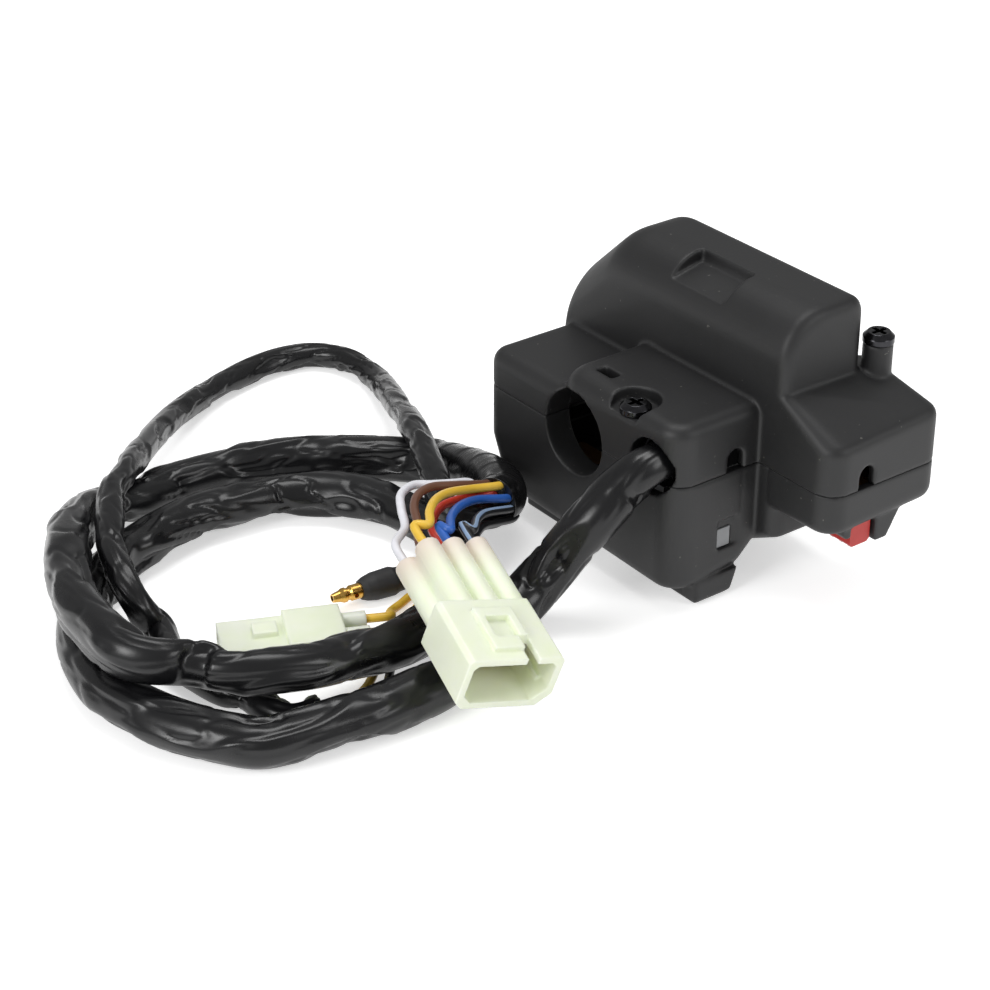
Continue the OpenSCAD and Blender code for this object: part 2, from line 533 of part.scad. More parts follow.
module push_plate(at, d) at_switch(at) difference() {
  box([-flange_r(d) - 1.15, 0.95 - push_half, plate_z],
    [flange_r(d) + 1.15, push_half - 0.95, plate_z + plate_t]);
  for (s = [-1, 1]) translate([s * (flange_r(d) - 2.8), 0, plate_z - 1]) cylinder(r = 0.5, h = 4, $fn = 24);
}
module push_contacts(at, d) at_switch(at) for (s = [-1, 1])
  translate([s * (flange_r(d) - 2.8), 0, plate_z]) {
    translate([0, 0, -0.5]) cylinder(r = 0.9, h = 0.5, $fn = 24);
    cylinder(r = 0.5, h = plate_t + 0.6, $fn = 24);
  }

module start_button() color("#2a2b2e") push_button(start_at, start_d);
module start_spring() color(steel) push_spring(start_at, start_d / 2 - 0.8);
module start_bridge() color(brass) push_bridge(start_at, start_d);
module start_body() color("#9a9da0") {
  push_body(start_at, start_d);
  box([hook_x, start_at[1] - push_half - 2.2, hook_z],
    [hook_x + hook_w, start_at[1] - push_half, hook_z + hook_h]);
}
module start_plate() color("#6b4a2c") push_plate(start_at, start_d);
module start_contacts() color(brass) push_contacts(start_at, start_d);
module horn_button() color("#2a2b2e") push_button(horn_at, horn_d);
module horn_spring() color(steel) push_spring(horn_at, 4);
module horn_bridge() color(brass) push_bridge(horn_at, horn_d);
module horn_body() color("#9a9da0") push_body(horn_at, horn_d);
module horn_plate() color("#6b4a2c") push_plate(horn_at, horn_d);
module horn_contacts() color(brass) push_contacts(horn_at, horn_d);

// Round cord swept along its route
function unit(v) = v / norm(v);
function heading(p, i) = unit(p[min(i + 1, len(p) - 1)] - p[max(i - 1, 0)]);
function ring(c, t, r, n) = let (s = unit(cross(t, [0, 0, 1])), u = cross(s, t))
  [for (k = [0 : n - 1]) c + r * (cos(360 * k / n) * s + sin(360 * k / n) * u)];
module cord(p, r, n) {
  last = len(p) - 1;
  polyhedron(
    points = [for (i = [0 : last]) each ring(p[i], heading(p, i), r, n)],
    faces = concat([[for (k = [n - 1 : -1 : 0]) k]], [[for (k = [0 : n - 1]) last * n + k]],
      [for (i = [0 : last - 1], k = [0 : n - 1]) let (m = (k + 1) % n)
        each [[i * n + k, i * n + m, (i + 1) * n + m], [i * n + k, (i + 1) * n + m, (i + 1) * n + k]]]));
}
module main_sleeve() color("#1b1c1e") cord(sleeve_route, sleeve_r, 12);
module tape_wrap() color("#151618") cord(tape_route, tape_d / 2, 12);
module branch_sleeve() color("#1b1c1e") cord(branch_route, branch_d / 2, 10);

// A point of the large connector's own frame, and the wires that end in its tubes
function turned(v, r) = let (
  a = [v[0], v[1] * cos(r[0]) - v[2] * sin(r[0]), v[1] * sin(r[0]) + v[2] * cos(r[0])],
  b = [a[0] * cos(r[1]) + a[2] * sin(r[1]), a[1], a[2] * cos(r[1]) - a[0] * sin(r[1])])
  [b[0] * cos(r[2]) - b[1] * sin(r[2]), b[0] * sin(r[2]) + b[1] * cos(r[2]), b[2]];
function tube_end(y, z) = [for (d = [8, 0, -4])
  conn_at + turned([-conn_l - d, y * tube_pitch, z], conn_turn)];
module conn_wire(route, y, z) cord(concat(route, tube_end(y, z)), wire_r, 8);
module wire_white() color("#e9e9ea") conn_wire(white_route, -1, low_z);
module wire_brown() color("#6d4630") conn_wire(brown_route, 0, low_z);
module wire_red() color("#c7372b") conn_wire(red_route, 1, low_z);
module wire_yellow() color("#e3b62f") conn_wire(yellow_route, -0.5, top_z);
module wire_blue() color("#2457a8") conn_wire(blue_route, 0.5, top_z);
module wire_striped() color("#26282c") conn_wire(striped_route, 1.5, top_z);
module wire_black() color("#1c1d1f") conn_wire(black_route, 2, low_z);
module bullet_lead() color("#1c1d1f") cord(bullet_route, wire_r, 8);
function plug_end(d) = [plug_at[0] + (plug_l / 2 + d) * cos(plug_turn) - 3.4 * sin(plug_turn),
  plug_at[1] + (plug_l / 2 + d) * sin(plug_turn) + 3.4 * cos(plug_turn), rest_z + 6.4];
module plug_lead() color("#e3b62f")
  cord(concat(tail_route, [plug_end(6), plug_end(0), plug_end(-4)]), wire_r, 8);

// Large connector: open shroud at the mouth, two rows of terminal tubes at the wire end
module tubes() {
  for (y = [-0.5, 0.5, 1.5]) translate([0, y * tube_pitch, top_z]) children();
  for (y = [-1, 0, 1, 2]) translate([0, y * tube_pitch, low_z]) children();
}
module shroud(w, h, l) rotate([90, 0, 90]) linear_extrude(l) polygon([[-w / 2, -h / 2 + 2],
  [-w / 2 + 2, -h / 2], [w / 2 - 3.5, -h / 2], [w / 2, -h / 2 + 3.5], [w / 2, h / 2 - 1],
  [w / 2 - 1, h / 2], [1 - w / 2, h / 2],
  [-w / 2, h / 2 - 1]]);
module blade_slots(room) tubes()
  box([-shroud_l - room, -2.2 - room, -0.4 - room], [-10, 2.2 + room, 0.4 + room]);
module connector() color(nylon) translate(conn_at) rotate(conn_turn) difference() {
  union() {
    difference() {
      translate([-shroud_l, 0, 0]) shroud(conn_w, conn_h, shroud_l);
      translate([3 - shroud_l, 0, 0]) shroud(conn_w - 2 * conn_wall, conn_h - 2 * conn_wall, shroud_l);
    }
    tubes() translate([-conn_l, 0, 0]) rotate([0, 90, 0]) cylinder(r = tube_r, h = conn_l - shroud_l + 1);
    box([1.5 - conn_l, -tube_pitch, low_z - 2], [1 - shroud_l, 2 * tube_pitch, top_z]);
    box([-shroud_l - 5, conn_w / 2 - 3, low_z - 2], [-4, conn_w / 2 + 2.5, low_z + 1]);
    box([-17, -5, conn_h / 2 - 1], [-3, 5, conn_h / 2 + 1.2]);
  }
  tubes() translate([-conn_l - 1, 0, 0]) rotate([0, 90, 0])
    cylinder(r = wire_r + wire_clear, h = 7, $fn = 24);
  blade_slots(0.05);
  box([-14, -3, conn_h / 2 - 0.6], [-7, 3, conn_h / 2 + 2]);
  box([-7, 2.6, conn_h / 2 - conn_wall - 1], [1, 5.4, conn_h / 2 + 2]);
}
module connector_blades() color(brass) translate(conn_at) rotate(conn_turn) blade_slots(0);

// Small connector: stepped plug with four cavities, wire holes at the other end
module plug() color(nylon) translate([plug_at[0], plug_at[1], rest_z]) rotate(plug_turn) difference() {
  union() {
    box([-plug_l / 2, 1 - plug_w / 2, 0], [0, plug_w / 2 - 1, plug_h - 1]);
    box([-2, -plug_w / 2, 0], [plug_l / 2 - 6, plug_w / 2, plug_h]);
    for (y = [-3.4, 3.4], z = [2.4, 6.4]) translate([0, y, z]) rotate([0, 90, 0])
      cylinder(r = 2.1, h = plug_l / 2);
    box([-10, -2.5, plug_h - 2], [-4, 2.5, plug_h + 0.6]);
  }
  for (y = [-3.4, 3.4], z = [2.2, 5.6])
    box([-plug_l / 2 - 1, y - 1.6, z - 0.9], [8 - plug_l / 2, y + 1.6, z + 0.9]);
  for (y = [-3.4, 3.4], z = [2.4, 6.4]) translate([plug_l / 2 - 6, y, z]) rotate([0, 90, 0])
    cylinder(r = wire_r + wire_clear, h = 7, $fn = 24);
}
module plug_terminals() color(brass) translate([plug_at[0], plug_at[1], rest_z]) rotate(plug_turn)
  for (y = [-3.4, 3.4], z = [2.2, 5.6]) difference() {
    box([1 - plug_l / 2, y - 1.55, z - 0.85], [8 - plug_l / 2, y + 1.55, z + 0.85]);
    box([-plug_l / 2, y - 1.2, z - 0.5], [7 - plug_l / 2, y + 1.2, z + 0.5]);
  }

// Bullet terminal with its rubber boot
module at_bullet() translate([-64.9, 13.2, -31.2]) rotate([0, 90, -6.6]) children();
module bullet_terminal() color(brass) at_bullet() difference() {
  rotate_extrude()
    polygon([[0, 0], [1.1, 0], [1.5, 2], [1.9, 2.9], [1.9, 3.6], [1.6, 3.9], [1.6, 4.5], [2, 5], [2, 12],
      [0, 12]]);
  translate([0, 0, -1]) cylinder(r = 0.7, h = 4.5, $fn = 24);
  translate([0, 0, 5.9]) rotate([90, 0, 0]) cylinder(r = 0.6, h = 3, $fn = 24);
}
module bullet_boot() color("#1f2022") at_bullet() difference() {
  rotate_extrude() polygon([[0, 7.8], [2.5, 7.8], [3.1, 9.2], [3.6, 11.5], [3.75, 16.5], [3.2, 18],
    [2.8, 23], [0, 23]]);
  translate([0, 0, 7]) cylinder(r = 2.05, h = 5.1);
  translate([0, 0, 15]) cylinder(r = wire_r + wire_clear, h = 10, $fn = 24);
}

rear_case();
front_case();
pad_screw_1();
block_screw_1();
cable_tie();
stop_knob();
stop_carrier();
stop_ball();
stop_spring();
stop_bridge();
stop_board();
stop_contacts();
light_knob();
light_carrier();
light_ball();
light_spring();
light_bridge();
light_board();
light_contacts();
start_button();
start_spring();
start_bridge();
start_body();
start_plate();
start_contacts();
horn_button();
horn_spring();
horn_bridge();
horn_body();
horn_plate();
horn_contacts();
main_sleeve();
tape_wrap();
branch_sleeve();
wire_white();
wire_brown();
wire_red();
wire_yellow();
wire_blue();
wire_striped();
wire_black();
connector();
connector_blades();
plug();
plug_terminals();
bullet_terminal();
bullet_boot();
bullet_lead();
plug_lead();
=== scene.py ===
import json
import math

import bpy
import numpy as np
from mathutils import Euler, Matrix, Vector, noise


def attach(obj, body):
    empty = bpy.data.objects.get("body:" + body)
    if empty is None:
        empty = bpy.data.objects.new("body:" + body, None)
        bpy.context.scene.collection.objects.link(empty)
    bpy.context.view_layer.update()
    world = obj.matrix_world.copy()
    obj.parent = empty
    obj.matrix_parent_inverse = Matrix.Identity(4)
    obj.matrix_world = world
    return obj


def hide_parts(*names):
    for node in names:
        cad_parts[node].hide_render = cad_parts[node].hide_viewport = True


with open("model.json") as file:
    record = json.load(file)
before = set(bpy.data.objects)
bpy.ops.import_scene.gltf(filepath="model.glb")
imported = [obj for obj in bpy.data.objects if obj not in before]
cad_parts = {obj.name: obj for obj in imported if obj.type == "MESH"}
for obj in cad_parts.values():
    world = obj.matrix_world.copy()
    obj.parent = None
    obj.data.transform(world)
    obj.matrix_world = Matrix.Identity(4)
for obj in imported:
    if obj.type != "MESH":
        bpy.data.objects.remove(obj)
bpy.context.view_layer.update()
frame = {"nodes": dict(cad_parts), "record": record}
scene = bpy.context.scene
scene.view_settings.view_transform = "Standard"
MM = 0.001

# The camera looks down on the cluster from the harness side, as a long lens does
# across a table: the clamp mouth faces left and the stop switch block faces right.
lens = bpy.data.cameras.new("camera")
lens.sensor_width = 36
lens.lens = 90.9
camera = bpy.data.objects.new("camera", lens)
camera.location = (-0.3487, -0.4317, 0.2938)
camera.rotation_euler = (math.radians(60.67), 0, math.radians(-36.91))
scene.collection.objects.link(camera)
scene.camera = camera

# Main sleeve: a thin-walled black vinyl tube over the harness, 12.5 mm across. It was pulled
# over the wires and coiled by hand, so its wall is creased, dented and flattened at bends.
SLEEVE_D = 12.5 * MM
SLEEVE_ROUTE = [
    (9, -29.6, 3.4), (-1, -29.6, 3.2), (-8, -27.8, -1.5), (-14.3, -26.8, -7), (-19.2, -24.2, -13.5),
    (-23.7, -22.1, -20), (-30.6, -21.4, -25.8), (-41, -24.3, -28.7), (-54.6, -31, -28.7),
    (-67.4, -36.3, -28.7), (-84, -37.4, -28.7), (-95.1, -35.9, -28.7), (-105.5, -34.3, -28.7),
    (-114, -31.8, -28.7), (-119.3, -25.4, -28.7), (-124.6, -16.3, -28.7), (-128.7, -6.3, -28.7),
    (-130.9, 4.6, -28.7), (-129, 18.7, -28.7), (-124.5, 31, -28.7), (-115, 44.5, -28.7), (-101, 56, -28.7),
    (-85.7, 62.3, -28.7), (-73, 64.6, -28.7), (-62.9, 63.6, -28.7), (-52.1, 62.1, -28.7),
    (-44.2, 58.5, -28.7), (-37.4, 52.2, -28.7), (-32, 43.7, -28.7), (-28.3, 34.3, -28.7),
    (-26.7, 23.3, -28.7), (-30, 11.3, -28.7), (-34.4, -3.7, -28.7), (-48.8, -12.9, -27.8),
    (-66.1, -19.6, -26), (-82.5, -20.6, -23.2), (-92.7, -21.2, -21.3), (-103, -18.8, -20.1),
    (-110.5, -14.5, -19.8), (-116.1, -8.4, -19.2), (-125.4, -3.6, -16.5), (-129.5, 3.8, -15.6),
    (-129.3, 15.1, -15.4), (-127.9, 26.1, -15.4), (-123.8, 37.9, -15.8), (-118.9, 47.6, -16.6),
    (-110.8, 60.8, -19.2), (-100.3, 73.6, -22.8), (-90.7, 80.5, -26.6), (-80.3, 82.2, -28.7),
    (-68.4, 84.2, -28.7), (-51.6, 81.9, -28.7), (-36.5, 76.2, -28.7), (-22.4, 67.6, -28.7),
    (-13, 58.8, -28.7), (-7.9, 52.1, -28)]


def linear(code):
    """An sRGB hex colour as the linear RGBA that a shader socket takes."""
    parts = [int(code[i:i + 2], 16) / 255 for i in (1, 3, 5)]
    return [p / 12.92 if p <= 0.04045 else ((p + 0.055) / 1.055) ** 2.4 for p in parts] + [1]


def add(tree, kind, inputs=None, **settings):
    """A new node with its settings, its input values and the links into it."""
    node = tree.nodes.new(kind)
    for name, value in settings.items():
        setattr(node, name, value)
    for socket, value in (inputs or {}).items():
        if isinstance(value, bpy.types.NodeSocket):
            tree.links.new(value, node.inputs[socket])
        else:
            node.inputs[socket].default_value = value
    return node


def finish(name, roughness, ior=1.5, metallic=0.0):
    """A new material and its shader, with the plain values of that finish."""
    material = bpy.data.materials.new(name)
    material.use_nodes = True
    shader = material.node_tree.nodes["Principled BSDF"]
    shader.inputs["Roughness"].default_value = roughness
    shader.inputs["IOR"].default_value = ior
    shader.inputs["Metallic"].default_value = metallic
    return material, material.node_tree, shader.inputs


SPAN_STEPS = 24


def eased(route, step):
    """A smooth line through the route's points in mm, as even steps in metres."""
    points = [Vector(p) * MM for p in route]
    points = [2 * points[0] - points[1]] + points + [2 * points[-1] - points[-2]]
    line = []
    for a, b, c, d in zip(points, points[1:], points[2:], points[3:]):
        for i in range(SPAN_STEPS):
            t = i / SPAN_STEPS
            line.append(0.5 * (2 * b + (c - a) * t + (2 * a - 5 * b + 4 * c - d) * t * t
                               + (3 * b - a - 3 * c + d) * t ** 3))
    line.append(points[-2])
    line = np.array(line)
    run = np.concatenate([[0], np.cumsum(np.linalg.norm(np.diff(line, axis=0), axis=1))])
    even = np.linspace(0, run[-1], max(2, round(run[-1] / step) + 1))
    return [Vector(p) for p in np.stack([np.interp(even, run, line[:, k]) for k in range(3)], axis=1)]


# A bend is read over this many points to each side; the second value, one over metres, is the
# curvature at which its inner side is fully squeezed.
BEND_WINDOW = 4
FULL_SQUEEZE_CURVE = 1 / 0.03


def tube(name, path, sides, reach):
    """A closed tube along the path. reach(run, angle, squeeze) is its radius, where squeeze
    runs from 0 to 1 on the inner side of a bend. Its UV map holds the run in cm and the turn."""
    last = len(path) - 1
    ways = [(path[min(i + 1, last)] - path[max(i - 1, 0)]).normalized() for i in range(len(path))]
    step = (path[1] - path[0]).length
    side = ways[0].cross(Vector((0, 0, 1))).normalized()
    verts, runs, run = [], [], 0.0
    for i, (point, way) in enumerate(zip(path, ways)):
        if i:
            side = ways[i - 1].rotation_difference(way) @ side
            run += (point - path[i - 1]).length
        up = side.cross(way)
        turn = ways[min(i + BEND_WINDOW, last)] - ways[max(i - BEND_WINDOW, 0)]
        turn = turn / max(1e-9, 2 * BEND_WINDOW * step)
        for k in range(sides):
            angle = 2 * math.pi * k / sides
            out = math.cos(angle) * side + math.sin(angle) * up
            squeeze = max(0.0, min(1.0, out.dot(turn) / FULL_SQUEEZE_CURVE))
            verts.append(point + out * reach(run, angle, squeeze))
        runs.append(run)
    faces = [[i * sides + k, i * sides + (k + 1) % sides,
              (i + 1) * sides + (k + 1) % sides, (i + 1) * sides + k]
             for i in range(last) for k in range(sides)]
    faces += [list(range(sides - 1, -1, -1)), [len(verts) - sides + k for k in range(sides)]]
    mesh = bpy.data.meshes.new(name)
    mesh.from_pydata(verts, [], faces)
    mesh.flip_normals()
    layer = mesh.uv_layers.new(name="run")
    for face in mesh.polygons:
        face.use_smooth = len(face.vertices) == 4
        turns = [v % sides for v in face.vertices]
        for corner, v, k in zip(face.loop_indices, face.vertices, turns):
            wrap = sides if k == 0 and max(turns) == sides - 1 and len(turns) == 4 else 0
            layer.data[corner].uv = (runs[v // sides] / MM / 10, (k + wrap) / sides)
    piece = bpy.data.objects.new(name, mesh)
    scene.collection.objects.link(piece)
    return piece


def creased(radius, fold_mm, seed):
    """The wall of a slack vinyl tube: a slowly turning oval, smooth on the outside of a bend and
    buckled on its inside, into hollows with sharp lips and slanting folds."""
    def reach(run, angle, squeeze):
        s, c, q = run / MM / fold_mm, math.cos(angle), math.sin(angle)
        slack = 0.42 + 0.9 * squeeze
        lean = 2.5 * noise.noise(Vector((s / 3, seed, 0)))
        oval = 0.035 * math.cos(2 * (angle - lean))
        hollow = noise.noise(Vector((s + 0.3 * c, 0.75 * c + seed, 0.75 * q)))
        pocket = min(1.0, max(0.0, (hollow + 0.05) / 0.3))
        lip = max(0.0, 1 - abs(hollow + 0.06) / 0.08)
        slant = noise.noise(Vector((1.4 * s + 0.8 * q, 1.2 * c + 3 * seed, 1.2 * q)))
        fold = max(0.0, 1 - 7 * abs(slant))
        hollowed = 0.32 * pocket * pocket * (3 - 2 * pocket)
        sink = 0.035 + slack * (hollowed + 0.12 * fold - 0.03 * lip) - oval
        return radius * (1.02 - min(0.36, max(0.0, sink)))
    return reach


# Soft vinyl, extruded: dark, with a waxy gloss that breaks up where the wall is creased.
vinyl, tree, shader = finish("extruded_black_vinyl", 0.34, 1.45)
spot = add(tree, "ShaderNodeTexCoord").outputs["Object"]
haze = add(tree, "ShaderNodeTexNoise", {"Vector": spot, "Scale": 1 / (14 * MM), "Detail": 4.0})
tone = add(tree, "ShaderNodeValToRGB", {"Fac": haze.outputs["Fac"]})
tone.color_ramp.elements[0].color = linear("#0c0c0d")
tone.color_ramp.elements[1].color = linear("#151517")
tree.links.new(tone.outputs["Color"], shader["Base Color"])
gloss = add(tree, "ShaderNodeMapRange", {"Value": haze.outputs["Fac"], "To Min": 0.2, "To Max": 0.36})
tree.links.new(gloss.outputs["Result"], shader["Roughness"])
skin = add(tree, "ShaderNodeTexNoise", {"Vector": spot, "Scale": 1 / (2.2 * MM), "Detail": 3.0})
relief = add(tree, "ShaderNodeBump", {"Height": skin.outputs["Fac"], "Strength": 0.08, "Distance": 0.3 * MM})
tree.links.new(relief.outputs["Normal"], shader["Normal"])

sleeve_path = eased(SLEEVE_ROUTE, 0.8 * MM)
sleeve = tube("main_sleeve_skin", sleeve_path, 64, creased(SLEEVE_D / 2, fold_mm=19, seed=2.3))
sleeve.data.materials.append(vinyl)
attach(sleeve, "housing")
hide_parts("main_sleeve")

# Tape wrap: black vinyl tape wound in overlapping turns where the branch leaves the main
# sleeve. It binds the ends of both sleeves and the wires, which come out of its mouth.
TAPE_D = 13 * MM
TAPE_LAP = 8.5
TAPE_ROUTE = [
    (-7.9, 52.1, -28), (-6.8, 48.1, -27.5), (-6.9, 37.4, -24.5), (-8, 26.7, -21.5), (-10.5, 17, -19.2),
    (-14.1, 10.9, -18.2), (-18.1, 8.9, -17.7)]


def wound(run, angle, squeeze):
    """The wall of wound tape: each turn steps down to the next, with a few rucks."""
    lap = (run / MM / TAPE_LAP - angle / (2 * math.pi)) % 1
    ruck = noise.noise(Vector((run / (6 * MM), 1.6 * math.cos(angle), 1.6 * math.sin(angle))))
    return TAPE_D / 2 * (0.97 + 0.03 * lap - 0.04 * max(0.0, ruck) - 0.05 * squeeze * max(0.0, 2 * ruck))


# Plasticised tape: blacker and glossier than the sleeve, with fine stretch lines across it.
tape_vinyl, tree, shader = finish("wound_black_tape", 0.22, 1.53)
shader["Base Color"].default_value = linear("#0e0e0f")
around = add(tree, "ShaderNodeTexCoord").outputs["UV"]
strain = add(tree, "ShaderNodeMapping", {"Vector": around, "Scale": (9, 3, 1), "Rotation": (0, 0, 0.5)})
lines = add(tree, "ShaderNodeTexNoise", {"Vector": strain.outputs["Vector"], "Scale": 1.6, "Detail": 3.0})
pull = add(tree, "ShaderNodeMapRange", {"Value": lines.outputs["Fac"], "To Min": 0.14, "To Max": 0.36})
tree.links.new(pull.outputs["Result"], shader["Roughness"])
ridges = add(tree, "ShaderNodeBump", {"Height": lines.outputs["Fac"], "Strength": 0.25, "Distance": 0.4 * MM})
tree.links.new(ridges.outputs["Normal"], shader["Normal"])

tape = tube("tape_wrap_skin", eased(TAPE_ROUTE, 0.5 * MM), 56, wound)
tape.data.materials.append(tape_vinyl)
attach(tape, "housing")
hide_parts("tape_wrap")

# Branch sleeve: a thinner tube of the same vinyl. It carries the bullet lead and the plug
# lead round the coil, and ends on the table behind its lower strand.
BRANCH_D = 7.5 * MM
BRANCH_ROUTE = [
    (-14.9, 11.2, -21.6), (-19.1, 8.9, -21.1), (-24.2, 9, -20.3), (-28.4, 13, -18.5), (-27.6, 19, -18.3),
    (-23.3, 26.9, -17.2), (-18.7, 37.5, -16.6), (-12.6, 51.3, -16.9), (1.9, 81.9, -25), (12.4, 105.5, -31.2),
    (12.6, 121, -31.2), (6.5, 130.5, -31.2), (-3.9, 133.4, -31.2), (-16.8, 132.2, -31.2), (-31.5, 127.5, -31),
    (-48.2, 117, -28.5), (-66.8, 98.6, -23), (-83.7, 79.1, -17), (-94.7, 67.7, -15.2), (-101.5, 56.9, -15.6),
    (-107, 47.5, -16.8), (-109.6, 39.3, -18.2), (-110.5, 31.6, -22.5), (-108.6, 28.4, -27.5),
    (-106.2, 26.3, -31), (-110.5, 12, -31.2), (-109.5, 2, -31.2), (-107.5, -6, -31.2), (-104.1, -10.8, -31.2),
    (-103.3, -18.4, -31.2), (-100.5, -23.3, -31.2), (-94, -24.8, -31.2)]
branch_path = eased(BRANCH_ROUTE, 0.7 * MM)
branch = tube("branch_sleeve_skin", branch_path, 48, creased(BRANCH_D / 2, fold_mm=12, seed=5.1))
branch.data.materials.append(vinyl)
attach(branch, "housing")
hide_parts("branch_sleeve")

# Wires: stranded copper in coloured vinyl, 2.2 mm across. They fan out of the tape mouth and
# turn back into the tubes of the large connector. One of the black ones has a pale tracer.
WIRE_D = 2.2 * MM
CONN_AT = Vector((-64.7, -59.2, -18))
CONN_TURN = Euler([math.radians(a) for a in (-13.7, 11.6, -103.5)]).to_matrix()
CONN_L = 45
TUBE_PITCH = 6.5
TOP_ROW, LOW_ROW = 3.1, -2.7
WIRES = {
    "white": ("#f4f4fa", -1, LOW_ROW, [
        (-17.3, 14.3, -16.2), (-20.2, 12.9, -15.9), (-19.9, 16.8, -15), (-25.6, 16.6, -13.2),
        (-31.5, 17.1, -11.8), (-36.8, 17.8, -10.6), (-43, 14.1, -9.6), (-47.6, 7.3, -9.2),
        (-51.4, 0.5, -9.8)]),
    "brown": ("#6f4a38", 0, LOW_ROW, [
        (-16, 12.4, -13.5), (-18.9, 11, -13.1), (-22.9, 11, -12), (-30.1, 10.5, -9.6), (-36.3, 10.5, -8),
        (-41.8, 8.4, -7.4), (-45.9, 4.3, -7.6), (-49, -1.6, -8.6)]),
    "red": ("#d8402f", 1, LOW_ROW, [
        (-15.3, 10.5, -16.1), (-18.3, 9, -15.8), (-21.6, 11, -15.6), (-28.9, 9.1, -13.4), (-36, 6.3, -11.6),
        (-42.1, 1.4, -10.4), (-46.7, -4.5, -10)]),
    "yellow": ("#f6c944", -0.5, TOP_ROW, [
        (-14.4, 9.4, -13.2), (-17.3, 7.9, -12.8), (-24.8, 8.4, -11.4), (-34.2, 5.6, -8), (-41.4, 1.3, -5.6),
        (-47.4, -4.4, -4.2), (-51.6, -10, -3.8)]),
    "blue": ("#2a63bd", 0.5, TOP_ROW, [
        (-13.5, 6.9, -15.9), (-16.5, 5.5, -15.6), (-25.8, 5.7, -13), (-34.9, 0.5, -9.4), (-42.8, -6.7, -6.6),
        (-48.1, -13.6, -5)]),
    "striped": ("#232427", 1.5, TOP_ROW, [
        (-13.3, 5.8, -18.6), (-16.2, 4.4, -18.3), (-26.5, 1.1, -14.5), (-34.3, -5.7, -10.5),
        (-41.2, -13.4, -7.5)]),
    "black": ("#1a1a1c", 2, LOW_ROW, [
        (-13.6, 5.7, -21.6), (-16.5, 4.2, -21.2), (-26.9, 0.5, -17.5), (-34.1, -5.5, -14.5),
        (-39.2, -11.1, -12.6)])}


def wire_wall(run, angle, squeeze):
    """The wall of a wire, which is round all along."""
    return WIRE_D / 2


def conn_point(x, y, z):
    """A point of the large connector's own frame, in mm."""
    return CONN_AT + CONN_TURN @ Vector((x, y, z))


# Insulation: extruded soft vinyl with an even satin gloss, its colour a little uneven.
wire_finishes, wire_pieces, wire_paths = {}, {}, {}
for name, (colour, column, row, route) in WIRES.items():
    insulation, tree, shader = finish("vinyl_insulation_" + name, 0.38, 1.53)
    spot = add(tree, "ShaderNodeTexCoord").outputs["Object"]
    drift = add(tree, "ShaderNodeTexNoise", {"Vector": spot, "Scale": 1 / (3 * MM), "Detail": 2.0})
    shade = add(tree, "ShaderNodeMix", {"Factor": drift.outputs["Fac"], "A": linear(colour),
                                        "B": [0.82 * c for c in linear(colour)[:3]] + [1]}, data_type="RGBA")
    shown = shade.outputs["Result"]
    if name == "striped":
        turn = add(tree, "ShaderNodeSeparateXYZ", {"Vector": add(tree, "ShaderNodeTexCoord").outputs["UV"]})
        near = add(tree, "ShaderNodeMath", {0: turn.outputs["Y"], 1: 0.3, 2: 0.07}, operation="COMPARE")
        tracer = add(tree, "ShaderNodeMix", {"Factor": near.outputs["Value"], "A": shown,
                                             "B": linear("#8ea6c4")}, data_type="RGBA")
        shown = tracer.outputs["Result"]
    tree.links.new(shown, shader["Base Color"])
    wire_finishes[name] = insulation
    ends = [conn_point(-CONN_L - d, column * TUBE_PITCH, row) for d in (8, 0, -4)]
    wire_paths[name] = eased(route + ends, 0.6 * MM)
    wire = tube("wire_%s_skin" % name, wire_paths[name], 20, wire_wall)
    wire.data.materials.append(insulation)
    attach(wire, "housing")
    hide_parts("wire_" + name)
    wire_pieces[name] = wire

# Leads of the branch: a black one to the bullet terminal and a yellow one to the small plug.
# Both lie on the table, pass under the upper strand of the main sleeve and turn back.
BULLET_ROUTE = [
    (-99, -25.2, -32.2), (-93, -26.3, -32.6), (-86, -27.5, -33.8), (-76, -25, -33.8), (-66, -15, -33.8),
    (-56, -8, -33.8), (-46, -1.5, -33.8), (-40.8, 3, -33.7), (-38.2, 7, -32.9), (-38.3, 9.4, -31.8),
    (-40, 10.3, -31.3), (-43, 10.6, -31.2), (-49, 11.3, -31.2)]
PLUG_ROUTE = [
    (-99, -22.4, -32.2), (-93, -23.2, -32.6), (-86, -23.6, -33.8), (-78, -21, -33.8), (-66.7, -11.5, -33.8),
    (-57, -5, -33.8), (-47.5, 1.2, -33.8), (-43.8, 4.4, -33.8), (-45.6, 6.2, -33.8), (-50.5, 4.2, -33.6),
    (-55.5, 1.6, -32.8)]
PLUG_AT = Vector((-83.6, 1.4, -35))
PLUG_L = 36
PLUG_TURN = math.radians(-24.5)
PLUG_HOLE_Y, PLUG_HOLE_Z = 3.4, 6.4
along = Vector((math.cos(PLUG_TURN), math.sin(PLUG_TURN), 0))
across = Vector((-math.sin(PLUG_TURN), math.cos(PLUG_TURN), 0))
plug_end = [PLUG_AT + (PLUG_L / 2 + d) * along + PLUG_HOLE_Y * across + Vector((0, 0, PLUG_HOLE_Z))
            for d in (6, 0, -4)]
leads = {}
for name, route, colour in (("bullet_lead", BULLET_ROUTE, "black"),
                            ("plug_lead", PLUG_ROUTE + plug_end, "yellow")):
    path = eased(route, 0.6 * MM)
    lead = tube(name + "_skin", path, 20, wire_wall)
    lead.data.materials.append(wire_finishes[colour])
    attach(lead, "housing")
    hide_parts(name)
    leads[name] = (lead, path)

